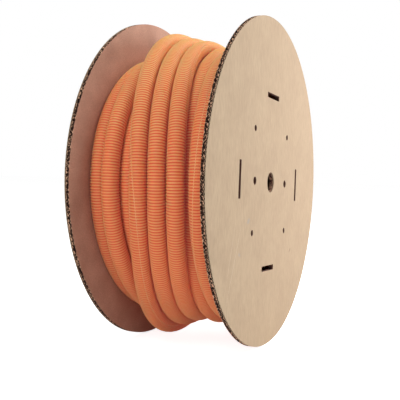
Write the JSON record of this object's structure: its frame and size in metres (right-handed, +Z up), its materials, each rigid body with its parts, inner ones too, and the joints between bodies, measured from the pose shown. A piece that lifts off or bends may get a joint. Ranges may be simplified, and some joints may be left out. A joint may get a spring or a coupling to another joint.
{
  "type": "reel of slit corrugated conduit",
  "caption": "Slit corrugated conduit wound on a round corrugated-board reel with a spindle bore, drive holes and strap slots.",
  "frame": {"origin": "floor point midway under the reel, where its rims stand", "axes": "+X along the axle towards the right flange, +Z up, -Y towards the front"},
  "size_m": [0.206, 0.5, 0.5],
  "materials": {
    "board": "brown kraft board, matte",
    "core_board": "brown board, matte",
    "conduit": "orange plastic, satin"
  },
  "bodies": {
    "root": {"right_flange": "board", "left_flange": "board", "core": "core_board", "inner_turns": "conduit", "outer_turns": "conduit"}
  },
  "joints": []
}
